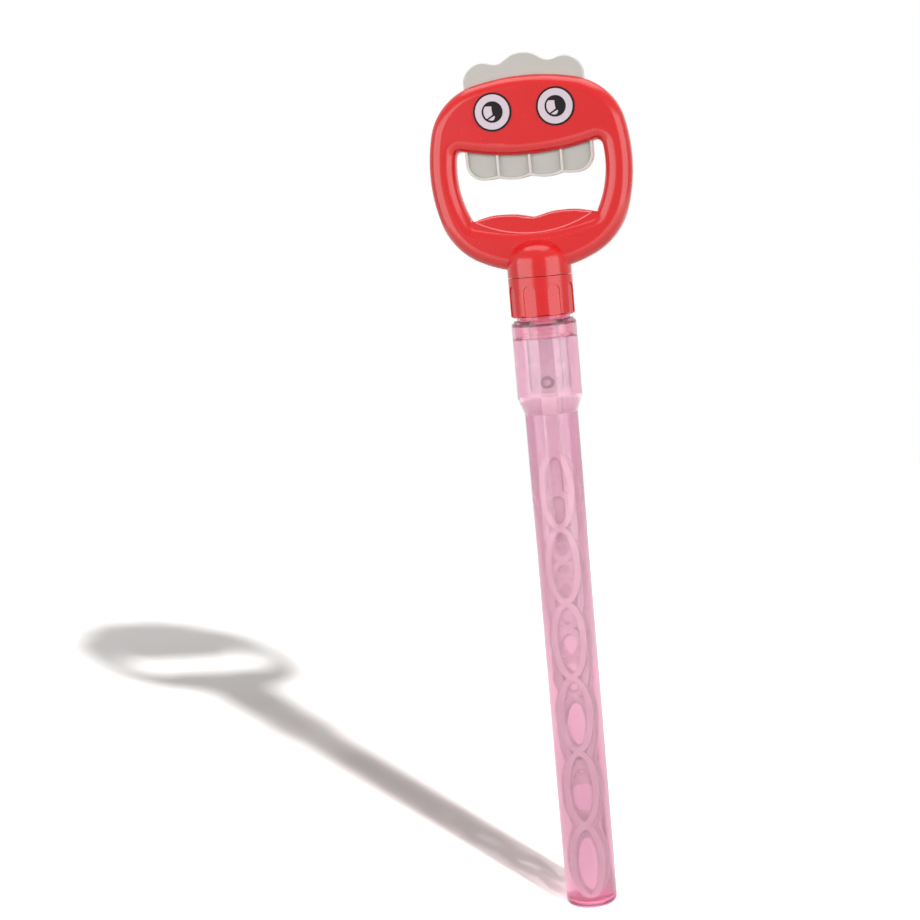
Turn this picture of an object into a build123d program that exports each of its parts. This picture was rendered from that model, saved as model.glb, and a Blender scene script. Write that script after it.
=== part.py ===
"""Bubble blower: a wand of five looped arms that stands in a tube of bubble solution.

Frame: +Z up, millimetres, origin at the middle of the tube's flat base, front towards -Y.
At rest the wand is pushed home: the arms hang in the tube and the handle stands on top.
"""
from build123d import *
import math
import os

# tube, from the floor up
tube_bottom_diameter = 26.4
tube_top_diameter = 27.0
tube_length = 257.0
tube_wall = 1.3
tube_floor = 2.4
tube_foot_radius = 3.0
tube_floor_radius = 4.0
step_length = 8.0
neck_diameter = 33.0
neck_length = 37.5
neck_edge_radius = 3.0
shoulder_diameter = 29.6
shoulder_length = 2.0
mouth_diameter = 27.0
mouth_length = 13.5

# cap, a fluted nut that turns on the handle's spigot
cap_gap = 1.5
cap_diameter = 32.6
cap_wall = 2.1
cap_roof = 2.7
cap_edge = 0.9
flute_count = 8
flute_width = 6.5
flute_depth = 0.7
flute_land = 4.0
flute_turn = 9.0

# spigot, liner and plug under the handle
spigot_diameter = 20.0
flange_diameter = 27.0
flange_length = 2.7
liner_length = 2.0
plug_diameter = 12.8
plug_neck_diameter = 8.0
plug_head_diameter = 18.0
plug_head_length = 3.0
plug_foot_length = 3.0

# handle, two moulded shells in the shape of a rounded loop
handle_width = 103.1
handle_crown_height = 43.85
handle_jaw_height = 54.5
jaw_rise = 2.5
handle_depth = 15.0
handle_wall = 2.0
handle_edge_radius = 6.3
handle_inner_chamfer = 2.9
# the handle's right side from the crown down, as shares of its half width and of its crown or jaw height
outline_shares = (
    (0, 1),
    (0.514, 0.926),
    (0.835, 0.69),
    (0.957, 0.402),
    (1, 0),
    (0.925, -0.493),
    (0.581, -0.876),
    (0, -1),
)
boss_diameter = 32.6
boss_length = 6.2
boss_dome_height = 12.5

# mouth of the handle, the opening that the fingers go through
rail_width = 13.5
mouth_side_radius = 54.0
mouth_side_drop = 1.8
mouth_top_height = 9.0
mouth_top_droop = 5.1
jaw_width = 25.7
mouth_bottom_droop = 4.2
mouth_corner_radius = 3.0
lip_thickness = 7.0
lip_height = 4.0
lip_panel_thickness = 12.0
lip_panel_width = 68.0
lip_panel_droop = 6.3
lip_tip_radius = 1.0
lip_edge_radius = 0.5
# lip's edge from the middle out, as shares of the opening's half width and of the lip's height
lip_shares = (
    (0, 0.43),
    (0.08, 0.54),
    (0.24, 0.89),
    (0.4, 1),
    (0.56, 0.95),
    (0.71, 0.66),
    (0.83, 0.4),
    (1, 0.1),
)

# hair and teeth, one flat plate between the shells
plate_thickness = 3.0
plate_edge_radius = 1.1
plate_border = 1.2
plate_rib = 1.2
plate_relief = 1.7
rim_edge_radius = 0.35
tooth_count = 4
teeth_side_gap = 5.6
tooth_drop = 10.2
outer_tooth_lift = 0.8
tooth_scallop = 1.3
tooth_corner_radius = 9.0
hair_inset = 20.7
hair_height = 11.6
# scalloped edge from the middle out, as shares of the hair's half width and of its height over the crown
hair_shares = (
    (0, 1),
    (0.163, 0.935),
    (0.3, 0.72),
    (0.445, 0.59),
    (0.56, 0.655),
    (0.68, 0.71),
    (0.8, 0.63),
    (0.91, 0.42),
    (0.98, 0.14),
    (1, -0.06),
)

# alignment pegs between the shells
peg_diameter = 3.0
peg_engagement = 3.0
post_diameter = 6.4
# places of the pegs, as shares of the handle's half width and of its crown or jaw height
peg_shares = ((0.873, -0.15), (0.53, -0.735), (0.76, 0.42), (0.16, 0.30))

# eyes
eye_diameter = 19.3
eye_spacing = 32.0
eye_drop = 17.2
eye_rim_width = 0.85
eye_rim_thickness = 1.0
eye_disc_thickness = 0.6
eye_recess = 0.6

# sleeve that carries the pin
sleeve_width = 14.7
sleeve_depth = 9.4
sleeve_length = 35.3
sleeve_wall = 1.0
sleeve_corner_radius = 2.0
pin_height = 5.3
pin_diameter = 3.0
pin_head_diameter = 6.2
pin_head_thickness = 0.6
swing_relief = 2.2

# arms, from the pin centre to the tip
arm_length = 269.0
arm_thickness = 1.2
arm_pitch = 1.4
arm_hub_diameter = 7.0
arm_strip = 2.9
loop_width = 15.3
loop_neck_share = 0.04
outer_stem_length = 36.0
outer_stem_width = 6.0
inner_stem_length = 56.0
middle_stem_length = 79.5
slim_stem_width = 4.2
loop_count = 6
middle_strip = 3.3
middle_round_width = 16.2
middle_long_width = 15.0
# lengths of the middle arm's loops, as shares of their whole run, from the pin down
middle_loop_shares = (0.112, 0.220, 0.109, 0.223, 0.105, 0.231)

# clearances
rest_gap = 0.3
running_gap = 0.05
seat_gap = 0.1
overrun = 5.0

# widths that follow from the sizes above
mouth_width = handle_width - 2 * rail_width
tooth_width = (mouth_width - 2 * teeth_side_gap) / tooth_count
hair_width = handle_width - 2 * hair_inset

# heights that follow from the sizes above
step_bottom = tube_length
neck_bottom = step_bottom + step_length
shoulder_bottom = neck_bottom + neck_length
shoulder_top = shoulder_bottom + shoulder_length
rim_height = shoulder_top + mouth_length
cap_bottom = shoulder_top + cap_gap
flange_bottom = rim_height + rest_gap + liner_length
flange_top = flange_bottom + flange_length
cap_ceiling = flange_top + rest_gap
cap_top = cap_ceiling + cap_roof
boss_bottom = cap_top + rest_gap
widest_height = boss_bottom + jaw_rise + handle_jaw_height
crown_top = widest_height + handle_crown_height
mouth_side_z = widest_height - mouth_side_drop
mouth_top_z = widest_height + mouth_top_height
mouth_corner_z = widest_height - handle_jaw_height + jaw_width
teeth_top = mouth_top_z - mouth_top_droop
eye_z = crown_top - eye_drop
boss_floor_top = boss_bottom + handle_wall
sleeve_top = cap_bottom - rest_gap - plug_foot_length
sleeve_bottom = sleeve_top - sleeve_length
pin_z = sleeve_bottom + pin_height
half_depth = handle_depth / 2
flange_radius = flange_diameter / 2
spigot_radius = spigot_diameter / 2
boss_radius = boss_diameter / 2


def write(shape, node, colour):
    """Name, colour and save one piece."""
    shape.label = node
    shape.color = Color(*colour)
    export_step(shape, "parts/" + node + ".step")


def ring(outer_radius, inner_radius, bottom, top):
    """A flat ring about the Z axis."""
    solid = Cylinder(outer_radius, top - bottom, align=(Align.CENTER, Align.CENTER, Align.MIN))
    hole = Cylinder(inner_radius, top - bottom + 2 * overrun)
    return Pos(0, 0, bottom) * (solid - hole)


def disc(radius, bottom, top):
    """A plain disc about the Z axis."""
    align = (Align.CENTER, Align.CENTER, Align.MIN)
    return Pos(0, 0, bottom) * Cylinder(radius, top - bottom, align=align)


def slab(face, front, back):
    """Extrude a face that is drawn in the XZ plane so that it fills y from front to back."""
    return Pos(0, front, 0) * extrude(face, back - front, dir=(0, 1, 0))


def upright(sketch, x, z):
    """Stand a flat sketch up in the XZ plane, with its origin at x and z."""
    return Plane.XZ * Pos(x, z) * sketch


def rod_along_y(radius, x, z, front, back):
    """A round bar that runs front to back."""
    return slab(upright(Circle(radius), x, z), front, back)


def tube():
    """Blow-moulded tube: tapered barrel, stepped neck, shoulder and mouth, with one even wall."""
    bottom_radius = tube_bottom_diameter / 2
    top_radius = tube_top_diameter / 2
    neck_radius = neck_diameter / 2
    mouth_radius = mouth_diameter / 2
    bore_radius = mouth_radius - tube_wall
    draft = (top_radius - bottom_radius) / tube_length
    outer = Polyline(
        (0, 0, 0),
        (bottom_radius, 0, 0),
        (top_radius, 0, step_bottom),
        (neck_radius, 0, neck_bottom),
        (neck_radius, 0, shoulder_bottom),
        (shoulder_diameter / 2, 0, shoulder_top),
        (mouth_radius, 0, shoulder_top),
        (mouth_radius, 0, rim_height),
        (0, 0, rim_height),
        close=True,
    )
    inner = Polyline(
        (0, 0, tube_floor),
        (bottom_radius + draft * tube_floor - tube_wall, 0, tube_floor),
        (top_radius - tube_wall, 0, step_bottom),
        (neck_radius - tube_wall, 0, neck_bottom),
        (neck_radius - tube_wall, 0, shoulder_bottom - tube_wall),
        (bore_radius, 0, shoulder_top - tube_wall),
        (bore_radius, 0, rim_height + overrun),
        (0, 0, rim_height + overrun),
        close=True,
    )
    body = revolve(make_face(outer), Axis.Z)
    hollow = revolve(make_face(inner), Axis.Z)
    body = fillet(circles_at(body, 0), tube_foot_radius)
    body = fillet(circles_at(body, neck_bottom) + circles_at(body, step_bottom), neck_edge_radius)
    hollow = fillet(circles_at(hollow, tube_floor), tube_floor_radius)
    hollow = fillet(circles_at(hollow, neck_bottom) + circles_at(hollow, step_bottom), neck_edge_radius)
    return body - hollow


def circles_at(solid, height):
    """The round edges of a solid that lie at one height."""
    rounds = solid.edges().filter_by(GeomType.CIRCLE)
    return rounds.filter_by_position(Axis.Z, height, height, (True, True))


def cap():
    """Fluted nut: a skirt round the tube's mouth and a roof that runs on the handle's spigot."""
    radius = cap_diameter / 2
    skin = Polyline(
        (0, 0, cap_bottom),
        (radius - cap_edge, 0, cap_bottom),
        (radius, 0, cap_bottom + cap_edge),
        (radius, 0, cap_top),
        (0, 0, cap_top),
        close=True,
    )
    body = revolve(make_face(skin), Axis.Z)
    body -= disc(radius - cap_wall, cap_bottom - overrun, cap_ceiling)
    body -= disc(spigot_radius + running_gap, cap_ceiling - overrun, cap_top + overrun)
    for index in range(flute_count):
        turn = flute_turn + (index + 0.5) * 360 / flute_count
        body -= Rot(0, 0, turn) * flute()
    return body


def flute():
    """Cutter for one arch-topped flute at the front of the cap."""
    radius = cap_diameter / 2
    half = flute_width / 2
    arch_base = cap_top - flute_land - half
    outline = make_face(
        Wire(
            [
                Line((-half, 0, cap_bottom - overrun), (half, 0, cap_bottom - overrun)),
                Line((half, 0, cap_bottom - overrun), (half, 0, arch_base)),
                ThreePointArc((half, 0, arch_base), (0, 0, arch_base + half), (-half, 0, arch_base)),
                Line((-half, 0, arch_base), (-half, 0, cap_bottom - overrun)),
            ]
        )
    )
    return slab(outline, -radius - overrun, -radius + flute_depth)


def liner():
    """Soft ring under the spigot's flange that seals the tube's rim."""
    return ring(flange_radius, plug_diameter / 2 + seat_gap, flange_bottom - liner_length, flange_bottom)


def loop_face(inset):
    """Outline of the handle, a chain of tangent arcs from the crown down each side, shrunk by inset."""
    half_width = handle_width / 2
    right = []
    tangent = (1, 0, 0)
    for (x, z), (next_x, next_z) in zip(outline_shares, outline_shares[1:]):
        start = (x * half_width, 0, outline_z(z))
        arc = TangentArc(start, (next_x * half_width, 0, outline_z(next_z)), tangent=tangent)
        tangent = arc % 1
        right.append(arc)
    left = [arc.mirror(Plane.YZ) for arc in right]
    outline = make_face(Wire(right + left))
    return offset(outline, -inset) if inset else outline


def outline_z(share):
    """Height of a place on the handle, given as a share of its crown or jaw height."""
    return widest_height + share * (handle_crown_height if share > 0 else handle_jaw_height)


def mouth_face(outset):
    """Outline of the finger opening, grown by outset on every side."""
    side_centre = mouth_width / 2 - mouth_side_radius
    side_radius = mouth_side_radius + outset
    top = mouth_top_z + outset
    bottom = mouth_corner_z - outset
    top_x = side_centre + math.sqrt(side_radius**2 - (top - mouth_side_z) ** 2)
    bottom_x = side_centre + math.sqrt(side_radius**2 - (mouth_side_z - bottom) ** 2)
    side_x = side_centre + side_radius
    lowest = bottom - mouth_bottom_droop
    outline = make_face(
        Wire(
            [
                ThreePointArc((-top_x, 0, top), (0, 0, top - mouth_top_droop), (top_x, 0, top)),
                ThreePointArc((top_x, 0, top), (side_x, 0, mouth_side_z), (bottom_x, 0, bottom)),
                ThreePointArc((bottom_x, 0, bottom), (0, 0, lowest), (-bottom_x, 0, bottom)),
                ThreePointArc((-bottom_x, 0, bottom), (-side_x, 0, mouth_side_z), (-top_x, 0, top)),
            ]
        )
    )
    return fillet(outline.vertices(), mouth_corner_radius + outset)


def pillow(inset):
    """Front half of the loop: rounded outside, and bevelled where it is hollowed by inset."""
    depth = half_depth - inset
    body = slab(loop_face(inset), -depth, 0) - slab(mouth_face(inset), -depth - overrun, overrun)
    edges = body.faces().sort_by(Axis.Y)[0].edges()
    return chamfer(edges, handle_inner_chamfer) if inset else fillet(edges, handle_edge_radius)


def boss(inset):
    """Round boss under the loop, with a domed top that stands proud of it."""
    dome_top = boss_bottom + boss_length + boss_dome_height - inset
    body = disc(boss_radius - inset, boss_bottom + inset, dome_top)
    top = body.edges().sort_by(Axis.Z)[-1]
    return fillet(top, boss_dome_height - inset)


def front_half():
    """A block that holds everything in front of the parting plane."""
    reach = handle_width + overrun
    align = (Align.CENTER, Align.MAX, Align.MIN)
    return Box(reach, reach, crown_top + overrun, align=align)


def under_lip():
    """Everything under the lip's edge, a curve of two humps."""
    half = mouth_width / 2
    right = [(x * half, 0, mouth_corner_z + share * lip_height) for x, share in lip_shares]
    left = [(-x, 0, z) for x, _, z in reversed(right[1:])]
    low = mouth_corner_z - mouth_bottom_droop - handle_wall
    sides = Polyline(right[-1], (half, 0, low), (-half, 0, low), left[0])
    return make_face(Wire([Spline(left + right), *sides.edges()]))


def lip():
    """Front half of the lower lip: a web across the finger opening with a raised, rounded panel."""
    web = slab(under_lip() & mouth_face(handle_wall / 2), -lip_thickness / 2, 0)
    half = lip_panel_width / 2
    brim = mouth_corner_z + lip_height
    above = mouth_top_z
    lowest = mouth_corner_z - lip_panel_droop
    bowl = make_face(
        Wire(
            [
                ThreePointArc((-half, 0, brim), (0, 0, lowest), (half, 0, brim)),
                Line((half, 0, brim), (half, 0, above)),
                Line((half, 0, above), (-half, 0, above)),
                Line((-half, 0, above), (-half, 0, brim)),
            ]
        )
    )
    outline = under_lip() & bowl
    outline = fillet(outline.vertices(), lip_tip_radius)
    panel = slab(outline, -lip_panel_thickness / 2, 0)
    return web + fillet(panel.faces().sort_by(Axis.Y)[0].edges(), lip_edge_radius)


def peg_places():
    """The (x, z) places of the pegs, left and right."""
    places = []
    for x_share, z_share in peg_shares:
        for side in (-1, 1):
            places.append((side * x_share * handle_width / 2, outline_z(z_share)))
    return places


def crosses_plate(x):
    """Whether a peg at this x goes through the hair and teeth plate."""
    return abs(x) < hair_width / 2


def shell_skin():
    """Front half of the moulded housing: loop, boss, lip, spigot and flange, hollow inside."""
    near = front_half()
    skin = pillow(0) + (boss(0) & near)
    skin -= pillow(handle_wall) + (boss(handle_wall) & near)
    skin += lip()
    spigot = disc(spigot_radius, flange_top, boss_bottom)
    spigot += disc(flange_radius, flange_bottom, flange_top)
    skin += spigot & near
    skin -= disc(plug_diameter / 2 + seat_gap, flange_bottom - overrun, boss_floor_top + overrun)
    skin -= plate_slot()
    for x, z in peg_places():
        skin += rod_along_y(post_diameter / 2, x, z, -half_depth + handle_wall / 2, -post_end(x))
    return skin


def plate_slot():
    """Room for the plate where it comes out through the crown and over the mouth."""
    wide = tooth_count * tooth_width + 2 * seat_gap
    deep = plate_thickness + 2 * plate_relief + 2 * seat_gap
    hair_room = Box(hair_width + 2 * seat_gap, plate_thickness + 2 * seat_gap, handle_crown_height)
    teeth_room = Box(wide, deep, handle_crown_height)
    crown = Pos(0, 0, widest_height + handle_crown_height) * hair_room
    return crown + Pos(0, 0, mouth_top_z + handle_wall - handle_crown_height / 2 + seat_gap) * teeth_room


def post_end(x):
    """How far a post stops from the parting plane."""
    return plate_thickness / 2 + seat_gap if crosses_plate(x) else 0


def front_shell():
    """Front shell, with pegs that reach into the rear one and shallow seats for the eyes."""
    shell = shell_skin()
    for x, z in peg_places():
        shell += rod_along_y(peg_diameter / 2, x, z, -post_end(x) - handle_wall / 2, peg_engagement)
    for side in (-1, 1):
        seat_radius = eye_diameter / 2 + seat_gap
        x = side * eye_spacing / 2
        shell -= rod_along_y(seat_radius, x, eye_z, -half_depth - overrun, -half_depth + eye_recess)
    return shell


def rear_shell():
    """Rear shell, the mirror image, with a socket for each peg."""
    shell = mirror(shell_skin(), Plane.XZ)
    for x, z in peg_places():
        shell -= rod_along_y(peg_diameter / 2 + seat_gap, x, z, -overrun, peg_engagement + seat_gap)
    return shell


def tooth(index, border, rib):
    """One tooth, drawn down from the gum line and shrunk by border at its foot and rib at its sides."""
    last = tooth_count - 1
    side = (index == last) - (index == 0)
    left = (index - tooth_count / 2) * tooth_width + (border if side < 0 else rib)
    right = (index + 1 - tooth_count / 2) * tooth_width - (border if side > 0 else rib)
    top = mouth_top_z - teeth_top + handle_wall
    foot = border - tooth_drop + (outer_tooth_lift if side else 0)
    notch = border - tooth_drop
    left_foot, right_foot = (notch if side > 0 else foot), (notch if side < 0 else foot)
    middle = (left + right) / 2
    belly = ThreePointArc((left, left_foot), (middle, foot - tooth_scallop), (right, right_foot))
    rest = Polyline((right, right_foot), (right, top), (left, top), (left, left_foot))
    outline = make_face(Wire([belly, *rest.edges()]))
    if side:
        feet = [v for v in outline.vertices().sort_by(Axis.X) if v.Y < 0]
        outline = fillet(feet[0] if side < 0 else feet[-1], tooth_corner_radius - border)
    return upright(outline, 0, teeth_top)


def plate():
    """Hair and teeth in one moulding: a flat web with a raised rim round each tooth."""
    half = hair_width / 2
    right = [(x * half, z * hair_height) for x, z in hair_shares]
    left = [(-x, z) for x, z in reversed(right[1:])]
    drop = crown_top - teeth_top
    low = right[-1][1]
    sides = Polyline((half, low), (half, -drop), (-half, -drop), (-half, low))
    upper = make_face(Wire([Spline(left + right), *sides.edges()]))
    web = slab(upright(upper, 0, crown_top), -plate_thickness / 2, plate_thickness / 2)
    faces = web.faces().sort_by(Axis.Y)
    web = fillet(faces[0].edges() + faces[-1].edges(), plate_edge_radius)
    rim_depth = plate_thickness / 2 + plate_relief
    row = [slab(tooth(index, 0, 0), -rim_depth, rim_depth) for index in range(tooth_count)]
    body = web + row
    for index in range(tooth_count):
        pad = tooth(index, plate_border, plate_rib / 2)
        body -= slab(pad, -rim_depth - overrun, -plate_thickness / 2)
        body -= slab(pad, plate_thickness / 2, rim_depth + overrun)
    faces = body.faces().sort_by(Axis.Y)
    body = fillet(faces[0].edges() + faces[-1].edges(), rim_edge_radius)
    for x, z in peg_places():
        if crosses_plate(x):
            body -= rod_along_y(peg_diameter / 2 + seat_gap, x, z, -plate_thickness, plate_thickness)
    return body


def eye_rim(side):
    """Dark ring and backing of one eye, set into its seat in the front shell."""
    x = side * eye_spacing / 2
    back = -half_depth + eye_recess
    front = back - eye_rim_thickness
    rim = rod_along_y(eye_diameter / 2, x, eye_z, front, back)
    seat = front + eye_disc_thickness
    return rim - rod_along_y(eye_diameter / 2 - eye_rim_width, x, eye_z, front - overrun, seat)


def eye_disc(side):
    """White face of one eye, inside its rim and slightly domed."""
    x = side * eye_spacing / 2
    back = -half_depth + eye_recess - eye_rim_thickness + eye_disc_thickness
    radius = eye_diameter / 2 - eye_rim_width - running_gap
    return rod_along_y(radius, x, eye_z, back - eye_disc_thickness, back)


def plug():
    """Round plug from the spigot down to the sleeve: a head, a shank and a flanged foot."""
    shank = disc(plug_diameter / 2, sleeve_top, boss_floor_top)
    head = disc(plug_head_diameter / 2, boss_floor_top, boss_floor_top + plug_head_length)
    neck = disc(plug_neck_diameter / 2, sleeve_top - sleeve_wall, sleeve_top)
    wide = sleeve_width - 2 * sleeve_wall - 2 * seat_gap
    deep = sleeve_depth - 2 * sleeve_wall - 2 * seat_gap
    foot = Pos(0, 0, sleeve_top - sleeve_wall - plug_foot_length / 2) * Box(wide, deep, plug_foot_length)
    return shank + head + neck + foot


def sleeve_half():
    """Front half of the clear sleeve: face, side walls and roof, open at the bottom."""
    middle = (sleeve_top + sleeve_bottom) / 2
    outline = upright(RectangleRounded(sleeve_width, sleeve_length, sleeve_corner_radius), 0, middle)
    body = slab(outline, -sleeve_depth / 2, 0)
    inner_width = sleeve_width - 2 * sleeve_wall
    inner_depth = sleeve_depth - 2 * sleeve_wall
    roof = sleeve_top - sleeve_wall
    align = (Align.CENTER, Align.CENTER, Align.MAX)
    room = Box(inner_width, inner_depth, sleeve_length + overrun, align=align)
    body -= Pos(0, 0, roof) * room
    relief = Box(sleeve_width + overrun, inner_depth, 2 * swing_relief)
    body -= Pos(0, 0, sleeve_bottom) * relief
    body -= disc(plug_neck_diameter / 2 + seat_gap, roof - overrun, sleeve_top + overrun)
    return body - rod_along_y(pin_diameter / 2 + running_gap, 0, pin_z, -sleeve_depth, sleeve_depth)


def pivot_pin():
    """Headed pin that all five arms swing on."""
    reach = sleeve_depth / 2
    pin = rod_along_y(pin_diameter / 2, 0, pin_z, -reach, reach)
    for side in (-1, 1):
        face = side * reach
        outer = face + side * pin_head_thickness
        pin += rod_along_y(pin_head_diameter / 2, 0, pin_z, min(face, outer), max(face, outer))
    return pin


def even_loops(stem_length):
    """Widths, strips and spans of the equal loops below a stem, as distances from the pin."""
    pitch = (arm_length - stem_length) / loop_count
    return [
        (loop_width, arm_strip, stem_length + index * pitch, stem_length + (index + 1) * pitch)
        for index in range(loop_count)
    ]


def uneven_loops(stem_length):
    """The middle arm's loops, round and long in turn."""
    run = arm_length - stem_length
    loops = []
    start = stem_length
    for index, share in enumerate(middle_loop_shares):
        width = middle_long_width if index % 2 else middle_round_width
        end = start + share * run
        loops.append((width, middle_strip, start, end))
        start = end
    return loops


def arm(index):
    """One arm: a hub on the pin, a flat stem and a chain of six open loops."""
    if index == 2:
        stem, width, loops = middle_stem_length, slim_stem_width, uneven_loops(middle_stem_length)
    elif index in (1, 3):
        stem, width, loops = inner_stem_length, slim_stem_width, even_loops(inner_stem_length)
    else:
        stem, width, loops = outer_stem_length, outer_stem_width, even_loops(outer_stem_length)
    reach = stem + arm_strip
    outline = Circle(arm_hub_diameter / 2) + Pos(0, -reach / 2) * Rectangle(width, reach)
    holes = Circle(pin_diameter / 2 + seat_gap)
    last = len(loops) - 1
    for place, (wide, strip, start, end) in enumerate(loops):
        neck = loop_neck_share * loop_width
        low = end if place == last else end + neck
        half = (low - start + neck) / 2
        centre = (start - neck + low) / 2
        outline += Pos(0, -centre) * Ellipse(wide / 2, half)
        holes += Pos(0, -centre) * Ellipse(wide / 2 - strip, half - strip)
    front = (index - 2) * arm_pitch - arm_thickness / 2
    return slab(upright(outline - holes, 0, pin_z), front, front + arm_thickness)


red = (0.85, 0.10, 0.10)
clear = (0.85, 0.82, 0.85, 0.4)

os.makedirs("parts", exist_ok=True)
write(tube(), "tube", (0.93, 0.55, 0.68, 0.5))
write(cap(), "screw_cap", red)
write(liner(), "cap_liner", (0.95, 0.95, 0.93))
write(front_shell(), "handle_front_shell", red)
write(rear_shell(), "handle_rear_shell", red)
write(plate(), "hair_and_teeth_plate", (0.88, 0.87, 0.86))
for name, side in (("left", -1), ("right", 1)):
    write(eye_rim(side), name + "_eye_rim", (0.04, 0.03, 0.04))
    write(eye_disc(side), name + "_eye_disc", (0.92, 0.88, 0.92))
write(plug(), "sleeve_plug", (0.75, 0.10, 0.35))
write(sleeve_half(), "sleeve_front", clear)
write(mirror(sleeve_half(), Plane.XZ), "sleeve_rear", clear)
write(pivot_pin(), "pivot_pin", (0.85, 0.82, 0.85))
for index in range(5):
    write(arm(index), "arm_" + str(index + 1), (0.86, 0.84, 0.83, 0.7))
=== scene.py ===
"""Looks of the bubble blower: finishes, solution, bubbles, eye prints, fine teeth and stage.

All lengths are in metres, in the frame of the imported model.
"""

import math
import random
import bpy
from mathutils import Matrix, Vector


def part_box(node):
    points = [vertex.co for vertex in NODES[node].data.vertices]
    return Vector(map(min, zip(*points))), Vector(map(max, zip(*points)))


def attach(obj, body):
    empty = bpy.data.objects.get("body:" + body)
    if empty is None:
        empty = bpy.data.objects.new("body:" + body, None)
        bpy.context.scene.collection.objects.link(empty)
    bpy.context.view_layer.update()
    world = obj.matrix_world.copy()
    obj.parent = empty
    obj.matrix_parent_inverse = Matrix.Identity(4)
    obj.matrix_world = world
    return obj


bl_info = {
    "name": "Bubble Blower",
    "version": (1, 0, 0),
    "blender": (4, 5, 0),
    "location": "View3D > Sidebar > Blower",
    "description": "Dresses the bubble blower: plastics, solution, bubbles, eyes, loop teeth and stage",
    "category": "Object",
}

import bmesh
import bpy
from bpy.props import FloatProperty, FloatVectorProperty, IntProperty, PointerProperty
from mathutils import Matrix, Vector

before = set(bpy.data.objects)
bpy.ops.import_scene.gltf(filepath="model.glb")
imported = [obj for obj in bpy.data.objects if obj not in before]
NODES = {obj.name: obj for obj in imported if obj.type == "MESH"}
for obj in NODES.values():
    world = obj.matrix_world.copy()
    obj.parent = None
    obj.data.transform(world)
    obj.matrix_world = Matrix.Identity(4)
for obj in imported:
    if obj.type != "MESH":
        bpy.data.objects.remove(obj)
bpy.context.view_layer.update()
MM = 0.001

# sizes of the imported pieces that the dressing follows
BORE_FLOOR = 2.4 * MM
BORE_FLOOR_ROUND = 4.0 * MM
BORE_FOOT_RADIUS = 11.9 * MM
BORE_TOP_RADIUS = 12.2 * MM
BORE_NECK_RADIUS = 15.2 * MM
STEP_BOTTOM = 257.0 * MM
STEP_TOP = 265.0 * MM
SHOULDER = 302.5 * MM
MOUTH_RADIUS = 13.5 * MM
PIN_HEIGHT = 272.7 * MM
ARM_LENGTH = 269.0 * MM
OUTER_STEM = 36.0 * MM
INNER_STEM = 56.0 * MM
LOOP_COUNT = 6
LOOP_WIDTH = 15.3 * MM
LOOP_STRIP = 2.9 * MM
LOOP_NECK_SHARE = 0.04
HANDLE_TOP_TO_CORNER = 72.65 * MM
LIP_HALF_WIDTH = 38.05 * MM
LIP_HEIGHT = 4.0 * MM
LIP_SHARES = (
    (0, 0.43), (0.08, 0.54), (0.24, 0.89), (0.4, 1), (0.56, 0.95), (0.71, 0.66), (0.83, 0.4), (1, 0.1),
)

# the softboxes stand round the middle of the blower
SOFTBOX_TARGET = (0.0, 0.0, 0.3)
SOFTBOX_DISTANCE = 1.3


def colour_property(name, text, default):
    """A colour that a user can change, in linear values."""
    return FloatVectorProperty(
        name=name, description=text, subtype="COLOR", size=3, min=0, max=1, default=default
    )


def length_property(name, text, default):
    """A length that a user can change, in metres."""
    return FloatProperty(name=name, description=text, unit="LENGTH", default=default, precision=5)


def angle_property(name, text, degrees):
    """An angle that a user can change, given in degrees."""
    return FloatProperty(name=name, description=text, subtype="ANGLE", default=math.radians(degrees))


def power_property(name, text, default):
    """The power of a lamp that a user can change, in watts."""
    return FloatProperty(name=name, description=text, unit="POWER", default=default)


class BlowerColours(bpy.types.PropertyGroup):
    """Colours of the plastics and of the solution."""

    handle: colour_property("Handle", "Glossy plastic of the handle and cap", (0.69, 0.008, 0.010))
    plate: colour_property("Plate", "Hair and teeth plate", (0.60, 0.59, 0.545))
    tube: colour_property("Tube", "Clear plastic of the tube", (0.805, 0.635, 0.72))
    tube_neck: colour_property("Tube neck", "Clear plastic of the wide neck", (0.91, 0.78, 0.845))
    # Deeper red at the collar: painted reflection of the red cap.
    tube_collar: colour_property("Tube collar", "Shoulder and mouth under the cap", (0.95, 0.33, 0.45))
    tube_base: colour_property("Tube base", "Thick plastic at the foot of the tube", (0.94, 0.35, 0.54))
    # Deeper pink on the wet wall over the solution: painted reflection of the red cap and plug.
    tube_dry: colour_property("Tube above solution", "Wet wall above the solution", (0.92, 0.56, 0.66))
    solution: colour_property("Solution", "Bubble solution in the tube", (0.93, 0.71, 0.785))
    bubble: colour_property("Bubble film", "Film of the small bubbles", (0.92, 0.50, 0.62))
    liner: colour_property("Liner", "Soft liner in the cap", (0.78, 0.77, 0.74))
    arm: colour_property("Arms", "Flexible plastic of the arms", (0.77, 0.735, 0.73))
    sleeve: colour_property("Sleeve", "Clear plastic of the sleeve", (0.93, 0.91, 0.93))
    # The bead's paler red is painted highlight along the lip panel's edge.
    lip_bead: colour_property("Lip bead", "Paler red round the lip's panel, a painted highlight", (0.86, 0.14, 0.14))
    eye: colour_property("Eye", "White of the eye", (0.68, 0.57, 0.63))
    dark: colour_property("Dark print", "Pupil and rim of the eye", (0.012, 0.009, 0.011))
    plug: colour_property("Plug", "Plug between cap and sleeve", (0.78, 0.36, 0.48))
    floor: colour_property("Floor", "Floor under the blower", (0.90, 0.885, 0.87))


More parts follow.
